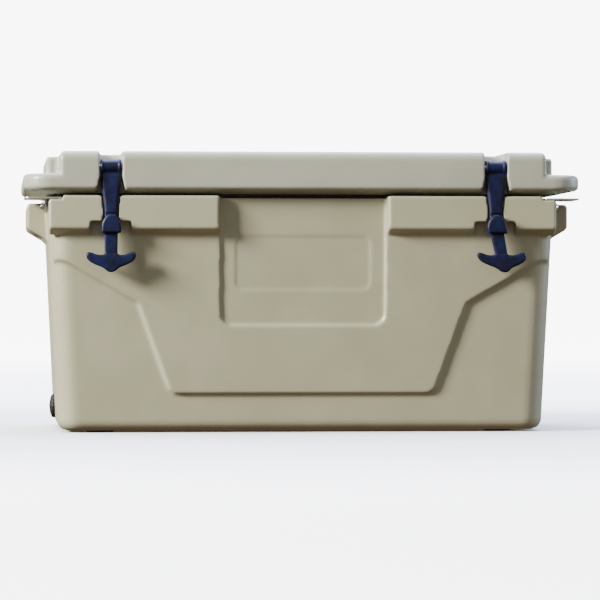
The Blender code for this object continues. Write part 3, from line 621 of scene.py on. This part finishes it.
def cad_copy(node: str) -> bmesh.types.BMesh:
    """A copy of a frame node's mesh, in millimetres, with its loose corners merged.

    Args:
        node: the frame node's name.

    Returns:
        The copy.
    """
    bm = bmesh.new()
    bm.from_mesh(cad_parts[node].data)
    bmesh.ops.remove_doubles(bm, verts=bm.verts, dist=1e-5)
    bmesh.ops.scale(bm, vec=Vector((1000.0, 1000.0, 1000.0)), verts=bm.verts)
    return bm


def place(obj: bpy.types.Object, body: str, slot: Slot, *nodes: str) -> bpy.types.Object:
    """Puts a piece on its body, in place of the frame nodes it stands for.

    Args:
        obj: the piece.
        body: the frame body it rides on.
        slot: the record slot of its finish; not used.
        nodes: frame nodes it replaces.

    Returns:
        The piece.
    """
    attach(obj, body)
    if nodes:
        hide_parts(*nodes)
    triangles = sum(len(p.vertices) - 2 for p in obj.data.polygons)
    LOG.info("%s on %s, %d triangles", obj.name, body, triangles)
    return obj


def centre_of(node: str) -> Vector:
    """The middle of a frame node, in millimetres."""
    low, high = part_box(node)
    return (low + high) * 500.0


# ---------------------------------------------------------------- mouldings


@dataclass
class BodyMoulding:
    """The double-walled body with its shield, keeper blocks, lugs and knuckles."""

    soft: Softening = Softening(1.9, 2, 195_000)
    port_x: float = 120.0
    port_r: float = 13.6
    port_floor_z: float = 7.0
    skin_top_z: float = 10.3
    screw_z: float = 320.0
    screw_y: tuple[float, float] = (-155.0, -137.0)
    screw_plug_x: tuple[float, float] = (351.8, 355.8)
    foot_pilot_r: float = 3.3

    def build(self) -> None:
        """Melts the frame's shell and the stoppers of its inner openings into one soft-edged skin."""
        bm = cad_copy("body_shell")
        self.stop_openings(bm)
        obj = finish_mesh("body_moulding", bm, SHELL)
        place(self.soft.apply(obj), "body", Slot.SHELL, "body_shell")

    def stop_openings(self, bm: bmesh.types.BMesh) -> None:
        """Closes the foam ports, foot pilots and screw holes where they reach the foam space.

        Args:
            bm: the body's mesh.
        """
        stopper = [(0.0, self.port_floor_z), (self.port_r, self.port_floor_z)]
        stopper += [(self.port_r, self.skin_top_z), (0.0, self.skin_top_z)]
        for side in Side:
            shape_turned(bm, stopper, Axis.Z, (side.value * self.port_x, 0.0, 0.0), 32)
            for y in self.screw_y:
                xs = sorted(side.value * x for x in self.screw_plug_x)
                rod = [(0.0, xs[0]), (3.2, xs[0]), (3.2, xs[1]), (0.0, xs[1])]
                shape_turned(bm, rod, Axis.X, (0.0, y, self.screw_z), 16)
        for node in FEET:
            middle = centre_of(node)
            rod = [(0.0, 6.8), (self.foot_pilot_r, 6.8), (self.foot_pilot_r, self.skin_top_z), (0.0, self.skin_top_z)]
            shape_turned(bm, rod, Axis.Z, (middle.x, middle.y, 0.0), 16)


FEET = [f"foot_{end}_{side.label}" for end in ("front", "rear") for side in Side]


@dataclass
class LidMoulding:
    """The double-walled lid with its crown, latch recesses, tie-down grooves and hinge arms."""

    soft: Softening = Softening(1.9, 2, 195_000)
    port_x: float = 120.0
    port_r: float = 13.6
    port_z: tuple[float, float] = (319.8, 321.8)

    def build(self) -> None:
        """Melts the frame's lid and the stoppers of its foam ports into one soft-edged skin."""
        bm = cad_copy("lid_shell")
        low, high = self.port_z
        stopper = [(0.0, low), (self.port_r, low), (self.port_r, high), (0.0, high)]
        for side in Side:
            shape_turned(bm, stopper, Axis.Z, (side.value * self.port_x, 0.0, 0.0), 32)
        obj = finish_mesh("lid_moulding", bm, LID_SHELL)
        place(self.soft.apply(obj), "lid", Slot.SHELL, "lid_shell")


# ---------------------------------------------------------------- latches


@dataclass
class RubberLatch:
    """One T-latch: roller, tapered strap, arch-topped hook, tail and anchor-shaped pull."""

    side: Side
    lean: float = 0.0
    centre_x: float = 272.0
    roller_y: float = -204.0
    roller_z: float = 374.0
    roller_r: float = 10.8
    roller_half: float = 14.8
    tail_top_z: float = 289.0
    low_z: float = 227.0
    soft: Softening = Softening(0.8, 3, 90_000)

    def lean_x(self, x: float, z: float) -> float:
        """Where a point of the latch lies across, with the tail hanging to one side."""
        share = max(0.0, (self.tail_top_z - z) / (self.tail_top_z - self.low_z))
        return self.side.value * self.centre_x + x + self.lean * share

    def outline(self, half: Sequence[Point2]) -> list[Point2]:
        """A half outline mirrored, leaned and put in place."""
        return [(self.lean_x(x, z), z) for x, z in mirrored(half)]

    def build(self) -> None:
        """Builds the rubber part and its steel pin."""
        bm = bmesh.new()
        self.roller(bm)
        self.strap(bm)
        self.hook(bm)
        self.pull(bm)
        obj = finish_mesh(f"latch_rubber_{self.side.label}", bm, LATCH_RUBBER)
        self.soft.apply(obj)
        place(obj, f"latch_{self.side.label}", Slot.LATCH, f"latch_{self.side.label}")
        self.pin()

    def roller(self, bm: bmesh.types.BMesh) -> None:
        """The fat barrel round the pin, with a raised band at each end.

        Args:
            bm: the latch's mesh.
        """
        r, half = self.roller_r, self.roller_half
        rim, flat = half - 3.6, r - 1.1
        profile = [(3.4, -half), (r - 1.6, -half), (r, -half + 1.4), (r, -rim), (flat, -rim + 1.0)]
        profile += [(radius, -h) for radius, h in reversed(profile)]
        profile.append(profile[0])
        centre = (self.side.value * self.centre_x, self.roller_y, self.roller_z)
        shape_turned(bm, profile, Axis.X, centre, 48)

    def strap(self, bm: bmesh.types.BMesh) -> None:
        """The strap, as wide as the roller at the top and narrowing towards the hook, with a raised middle.

        Args:
            bm: the latch's mesh.
        """
        half = [(14.5, 373.0), (14.5, 356.0), (14.0, 348.5), (12.6, 339.0), (11.2, 330.0), (9.1, 310.0), (8.6, 289.0)]
        shape_outline(bm, self.outline([*half, (8.2, 270.0), (8.0, 246.0)]), -210.2, -204.2, 1.6)
        raised = [(11.6, 362.0), (11.2, 348.0), (9.0, 332.0), (6.8, 309.0)]
        shape_outline(bm, self.outline(raised), -211.4, -208.0, 1.1)

    def hook(self, bm: bmesh.types.BMesh) -> None:
        """The arch-topped lump that bears on the keeper block.

        Args:
            bm: the latch's mesh.
        """
        half = [(13.9, 280.8), (14.0, 289.0), (13.0, 294.8), (11.3, 298.8), (9.0, 302.4), (6.6, 305.2), (3.4, 307.4)]
        shape_outline(bm, self.outline(half), -222.4, -210.8, 3.2, 4)
        neck = [(7.6, 281.0), (7.6, 304.0)]
        shape_outline(bm, self.outline(neck), -216.0, -206.0, 1.0)

    def pull(self, bm: bmesh.types.BMesh) -> None:
        """The tail and the anchor-shaped pull, whose arms end in rounded lobes.

        Args:
            bm: the latch's mesh.
        """
        tail = [(9.4, 282.0), (9.1, 266.0), (8.9, 252.0), (8.6, 238.0)]
        shape_outline(bm, self.outline(tail), -216.6, -206.0, 2.0, 3)
        arm = [(8.4, 252.5), (10.8, 250.6), (16.5, 250.2), (21.5, 251.2), (26.5, 253.2), (31.0, 254.4)]
        lobe = [(34.0, 253.2), (35.0, 249.4), (33.6, 244.6), (29.4, 240.2)]
        point = [(21.0, 236.0), (13.2, 233.0), (9.0, 230.4), (6.0, 227.6), (3.0, 226.2), (0.0, 225.9)]
        shape_outline(bm, self.outline(arm + lobe + point), -217.4, -208.6, 2.8, 4)

    def pin(self) -> None:
        """The steel pin that the roller turns on, with domed ends."""
        low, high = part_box(f"latch_pin_{self.side.label}")
        middle, half = (low + high) * 500.0, (high.x - low.x) * 500.0
        profile = [(0.0, -half), (1.6, -half), (2.6, -half + 0.4), (3.0, -half + 1.2)]
        profile += [(3.0, half - 1.2), (2.6, half - 0.4), (1.6, half), (0.0, half)]
        bm = bmesh.new()
        shape_turned(bm, profile, Axis.X, middle, 32)
        obj = finish_mesh(f"latch_axle_{self.side.label}", bm, SCREW_STEEL)
        place(obj, "lid", Slot.STEEL, f"latch_pin_{self.side.label}")


# ---------------------------------------------------------------- metal


@dataclass
class LockPlate:
    """One bent steel lock plate with its padlock hole, opener mouth and two screws."""

    side: Side
    edge_mm: float = 0.45

    def build(self) -> None:
        """Eases the frame plate's edges and drives its screws."""
        name = f"lock_plate_{self.side.label}"
        bm = cad_copy(name)
        obj = finish_mesh(f"plate_{self.side.label}", bm, PLATE_STEEL)
        ease = obj.modifiers.new("ease", "BEVEL")
        ease.width = self.edge_mm * MM
        ease.segments = 2
        ease.limit_method = "ANGLE"
        ease.angle_limit = math.radians(32)
        place(settle(obj, 40.0), "body", Slot.STEEL, name)
        for end in ("front", "rear"):
            self.screw(end)

    def screw(self, end: str) -> None:
        """A dome-headed socket screw.

        Args:
            end: which of the two screws.
        """
        node = f"plate_screw_{self.side.label}_{end}"
        low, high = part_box(node)
        s = self.side.value
        tip = (low.x if s > 0 else high.x) * 1000.0
        top = (high.x if s > 0 else low.x) * 1000.0
        middle = (low + high) * 500.0
        r = (high.y - low.y) * 500.0
        neck = top - s * 5.0
        bm = bmesh.new()
        profile = [(0.0, tip), (2.0, tip + s * 1.5), (2.0, neck), (r, neck), (r, neck + s * 0.9)]
        profile += [(r * 0.93, neck + s * 1.8), (r * 0.75, neck + s * 2.6), (r * 0.55, top)]
        profile += [(r * 0.5, top), (r * 0.5, top - s * 1.6), (0.0, top - s * 2.0)]
        shape_turned(bm, profile, Axis.X, (0.0, middle.y, middle.z), 36)
        obj = finish_mesh(f"socket_screw_{self.side.label}_{end}", bm, SCREW_STEEL, 30.0)
        place(obj, "body", Slot.STEEL, node)


@dataclass
class HingePin:
    """One steel hinge rod with rounded ends."""

    side: Side

    def build(self) -> None:
        """Turns the rod."""
        node = f"hinge_pin_{self.side.label}"
        low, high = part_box(node)
        middle, half = (low + high) * 500.0, (high.x - low.x) * 500.0
        r = (high.z - low.z) * 500.0
        profile = [(0.0, -half), (r - 1.4, -half), (r - 0.5, -half + 0.5), (r, -half + 1.4)]
        profile += [(radius, -h) for radius, h in reversed(profile)]
        bm = bmesh.new()
        shape_turned(bm, profile, Axis.X, middle, 36)
        place(finish_mesh(f"hinge_rod_{self.side.label}", bm, SCREW_STEEL), "body", Slot.STEEL, node)


# ---------------------------------------------------------------- drain, seal, feet, ports


@dataclass
class Drain:
    """The drain spout, its washer and the ribbed screw plug."""

    ribs: int = 18
    rib_deep: float = 0.9

    def build(self) -> None:
        """Builds the three pieces on the frame's drain."""
        self.spout()
        self.washer()
        self.plug()

    def spout(self) -> None:
        """The flanged spout with a threaded mouth."""
        low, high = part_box("drain_spout")
        face, inner = low.x * 1000.0, high.x * 1000.0
        z = centre_of("drain_spout").z
        profile = [(9.6, face), (18.6, face), (19.6, face + 0.5), (20.0, face + 1.4), (20.0, face + 3.0)]
        profile += [(12.0, face + 3.0), (12.0, inner), (8.8, inner)]
        pitch, crest, root = 4.0, 8.8, 10.2
        x = inner - 26.0
        while x > face + 3.0:
            profile += [(crest, x), (root, x - pitch * 0.4), (root, x - pitch * 0.6), (crest, x - pitch)]
            x -= pitch
        profile += [(9.6, face + 1.0), (9.6, face)]
        bm = bmesh.new()
        shape_turned(bm, profile, Axis.X, (0.0, 0.0, z), 64)
        place(finish_mesh("spout_nylon", bm, NYLON, 30.0), "body", Slot.NYLON, "drain_spout")

    def washer(self) -> None:
        """The soft washer under the plug's cap."""
        low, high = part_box("drain_washer")
        a, b = low.x * 1000.0, high.x * 1000.0
        z = centre_of("drain_washer").z
        profile = [(8.8, a + 0.5), (9.3, a), (15.4, a), (16.0, a + 0.6)]
        profile += [(16.0, b - 0.6), (15.4, b), (9.3, b), (8.8, b - 0.5)]
        profile.append(profile[0])
        bm = bmesh.new()
        shape_turned(bm, profile, Axis.X, (0.0, 0.0, z), 64)
        place(finish_mesh("plug_washer", bm, SEAL_RUBBER, 60.0), "drain_washer", Slot.RUBBER, "drain_washer")

    def plug(self) -> None:
        """The domed plug with a ribbed skirt, a raised turning bar and a plain stem."""
        low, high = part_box("drain_plug")
        tip, root = low.x * 1000.0, high.x * 1000.0
        z = centre_of("drain_plug").z
        r = (high.z - low.z) * 500.0
        cap = tip + 3.5
        skirt = cap + 7.0
        bm = bmesh.new()
        profile = [(0.0, tip + 0.5), (6.0, tip + 0.7), (11.0, tip + 1.5), (14.4, tip + 2.7), (r - 0.7, cap + 0.7)]
        profile += [(r, cap + 2.0), (r, skirt - 0.8), (r - 0.8, skirt), (8.4, skirt)]
        profile += [(8.4, root - 1.2), (7.4, root), (0.0, root)]
        steps = self.ribs * 6
        verts = shape_turned(bm, profile, Axis.X, (0.0, 0.0, z), steps)
        for v in verts:
            off = Vector((0.0, v.co.y, v.co.z - z))
            if off.length > r - 1.0 and v.co.x > cap + 0.9:
                turn = math.atan2(off.z, off.y) * self.ribs
                v.co -= off.normalized() * self.rib_deep * (0.5 - 0.5 * math.cos(turn))
        shape_box(bm, (tip + 0.1, -11.5, z - 2.4), (tip + 4.5, 11.5, z + 2.4), 1.2)
        obj = finish_mesh("plug_rubber", bm, PLUG_RUBBER, 45.0)
        Softening(0.6, 2, 60_000).apply(obj)
        place(obj, "drain_plug", Slot.RUBBER, "drain_plug")


@dataclass
class LidSeal:
    """The rubber seal pressed into the lid's groove."""

    edge_mm: float = 1.2

    def build(self) -> None:
        """Rounds the frame seal's edges into a soft extrusion."""
        obj = finish_mesh("seal_extrusion", cad_copy("lid_seal"), SEAL_RUBBER)
        ease = obj.modifiers.new("ease", "BEVEL")
        ease.width = self.edge_mm * MM
        ease.segments = 3
        ease.limit_method = "ANGLE"
        ease.angle_limit = math.radians(50)
        place(settle(obj, 60.0), "lid", Slot.RUBBER, "lid_seal")


@dataclass
class Foot:
    """One rubber foot with tread rings and its countersunk screw."""

    node: str

    def build(self) -> None:
        """Turns the foot and its screw."""
        low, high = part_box(self.node)
        middle = (low + high) * 500.0
        r, top = (high.x - low.x) * 500.0, high.z * 1000.0
        profile = [(5.3, 0.0), (8.2, 0.0), (8.6, 0.9), (9.8, 0.9), (10.2, 0.0), (13.2, 0.0), (13.6, 0.9), (14.8, 0.9)]
        profile += [(15.2, 0.0), (r - 1.7, 0.0), (r - 0.6, 0.5), (r, 1.6), (r, top), (2.8, top), (2.8, 3.6), (5.3, 3.6)]
        profile.append(profile[0])
        bm = bmesh.new()
        shape_turned(bm, profile, Axis.Z, (middle.x, middle.y, 0.0), 64)
        place(finish_mesh(f"{self.node}_rubber", bm, FOOT_RUBBER, 35.0), "body", Slot.RUBBER, self.node)
        screw = self.node.replace("foot_", "foot_screw_")
        profile = [(0.0, 2.4), (1.9, 2.2), (1.9, 1.0), (4.2, 1.0), (4.7, 1.5), (4.7, 3.3)]
        profile += [(2.5, 3.3), (2.5, 12.0), (0.0, 13.5)]
        bm = bmesh.new()
        shape_turned(bm, profile, Axis.Z, (middle.x, middle.y, 0.0), 40)
        place(finish_mesh(f"{screw}_steel", bm, SCREW_STEEL, 30.0), "body", Slot.STEEL, screw)


@dataclass
class PortPlug:
    """One press-in plug of a foam port, with a rim and a shallow turning slot."""

    node: str
    body: str
    top_z: float

    def build(self) -> None:
        """Turns the plug up to the stopper above it."""
        low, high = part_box(self.node)
        middle = (low + high) * 500.0
        z, r = low.z * 1000.0, (high.x - low.x) * 500.0
        profile = [(0.0, z + 1.0), (7.6, z + 1.0), (8.4, z + 0.9), (9.2, z + 0.1), (r - 0.9, z), (r, z + 0.8)]
        profile += [(r, self.top_z), (0.0, self.top_z)]
        bm = bmesh.new()
        shape_turned(bm, profile, Axis.Z, (middle.x, middle.y, 0.0), 64)
        shape_box(bm, (middle.x - 6.0, -0.9, z + 0.2), (middle.x + 6.0, 0.9, z + 1.6), 0.3)
        place(finish_mesh(f"{self.node}_nylon", bm, NYLON, 35.0), self.body, Slot.NYLON, self.node)


# ---------------------------------------------------------------- studio


@dataclass(frozen=True)
class SoftBox:
    """One square soft box: where it hangs, what it points at, its width, its power and its colour."""

    name: str
    at: Vector3
    to: Vector3
    size: float
    watts: float
    colour: str

    def hang(self) -> None:
        """Hangs the light, out of the camera's sight."""
        data = bpy.data.lights.new(self.name, "AREA")
        data.size = self.size
        data.energy = self.watts
        data.color = linear(self.colour)[:3]
        obj = bpy.data.objects.new(self.name, data)
        obj.location = self.at
        obj.rotation_euler = (Vector(self.to) - Vector(self.at)).to_track_quat("-Z", "Y").to_euler()
        obj.visible_camera = False
        bpy.context.scene.collection.objects.link(obj)


SOFT_BOXES = (
    SoftBox("key", (-4.6, -2.1, 2.35), (0.0, -0.15, 0.2), 1.4, 1120.0, "#fffdf8"),
    SoftBox("top", (0.0, 1.7, 4.0), (0.0, 1.2, 0.0), 4.6, 740.0, "#dbe3ff"),
    SoftBox("rim", (3.6, 0.3, 1.2), (0.3, 0.0, 0.2), 1.4, 110.0, "#c9defa"),
)


@dataclass
class Studio:
    """A round white sweep, three soft boxes, a pale surround and the camera."""

    camera_at: Vector3 = (-0.433, -4.997, 0.187)
    look_at: Vector3 = (-0.0046, -0.19, 0.187)
    lens_mm: float = 204.9
    bend_at: float = 18.0
    bend_r: float = 16.0
    bend_deg: float = 80.0
    bend_steps: int = 12
    drop: float = 0.0004

    def build(self) -> None:
        """Lays the sweep, hangs the lights and sets up the camera."""
        self.sweep()
        for box in SOFT_BOXES:
            box.hang()
        self.surround()
        self.camera()

    def sweep(self) -> None:
        """A round sheet of white paper, flat under the chest and curved up far away on every side."""
        bm = bmesh.new()
        line = [(0.0, 0.0), (1.0, 0.0), (4.0, 0.0), (self.bend_at, 0.0)]
        for k in range(1, self.bend_steps + 1):
            angle = math.radians(self.bend_deg * k / self.bend_steps)
            line.append((self.bend_at + self.bend_r * math.sin(angle), self.bend_r * (1 - math.cos(angle))))
        shape_turned(bm, line, Axis.Z, (0.0, 0.0, -self.drop), 96)
        obj = finish_mesh("sweep", bm, PAPER, in_mm=False)
        obj.visible_diffuse = False
        obj.visible_glossy = False
        obj.visible_shadow = False

    def surround(self) -> None:
        """A cool pale surround above the floor and a dim warm one below it."""
        world = bpy.data.worlds.new("studio")
        world.use_nodes = True
        tree = world.node_tree
        up = add_node(tree, "SeparateXYZ", Vector=add_node(tree, "TexCoord").outputs["Generated"]).outputs["Z"]
        level = add_node(tree, "MapRange", Value=up, From_Min=-0.5, From_Max=0.5).outputs["Result"]
        sky = ramp(tree, level, (0.0, linear("#8f7462")), (0.5, linear("#d2cec4")), (1.0, linear("#f1f5ff")))
        shade = tree.nodes["Background"]
        tree.links.new(sky, shade.inputs["Color"])
        shade.inputs["Strength"].default_value = 0.72
        bpy.context.scene.world = world

    def camera(self) -> None:
        """A long lens a little left of the middle, level with the lid seam."""
        data = bpy.data.cameras.new("camera")
        data.lens = self.lens_mm
        data.clip_end = 200.0
        obj = bpy.data.objects.new("camera", data)
        obj.location = self.camera_at
        obj.rotation_euler = (Vector(self.look_at) - Vector(self.camera_at)).to_track_quat("-Z", "Y").to_euler()
        bpy.context.scene.collection.objects.link(obj)
        bpy.context.scene.camera = obj


def dress_hidden(nodes: Iterable[str], finish: Finish) -> None:
    """Gives frame nodes that stay their finish.

    Args:
        nodes: the frame nodes' names.
        finish: what they are made of.
    """
    for node in nodes:
        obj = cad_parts[node]
        obj.data.materials.clear()
        obj.data.materials.append(finish.make())


def main() -> None:
    """Builds every piece in order."""
    logging.basicConfig(level=logging.INFO, format="%(message)s")
    BodyMoulding().build()
    LidMoulding().build()
    RubberLatch(Side.LEFT).build()
    RubberLatch(Side.RIGHT, lean=RIGHT_TAIL_LEAN).build()
    for side in Side:
        LockPlate(side).build()
        HingePin(side).build()
        PortPlug(f"body_port_plug_{side.label}", "body", BODY_PORT_TOP_Z).build()
        PortPlug(f"lid_port_plug_{side.label}", "lid", LID_PORT_TOP_Z).build()
    Drain().build()
    LidSeal().build()
    for node in FEET:
        Foot(node).build()
    dress_hidden(("body_foam", "lid_foam"), FOAM)
    Studio().build()


if __name__ == "__main__":
    main()
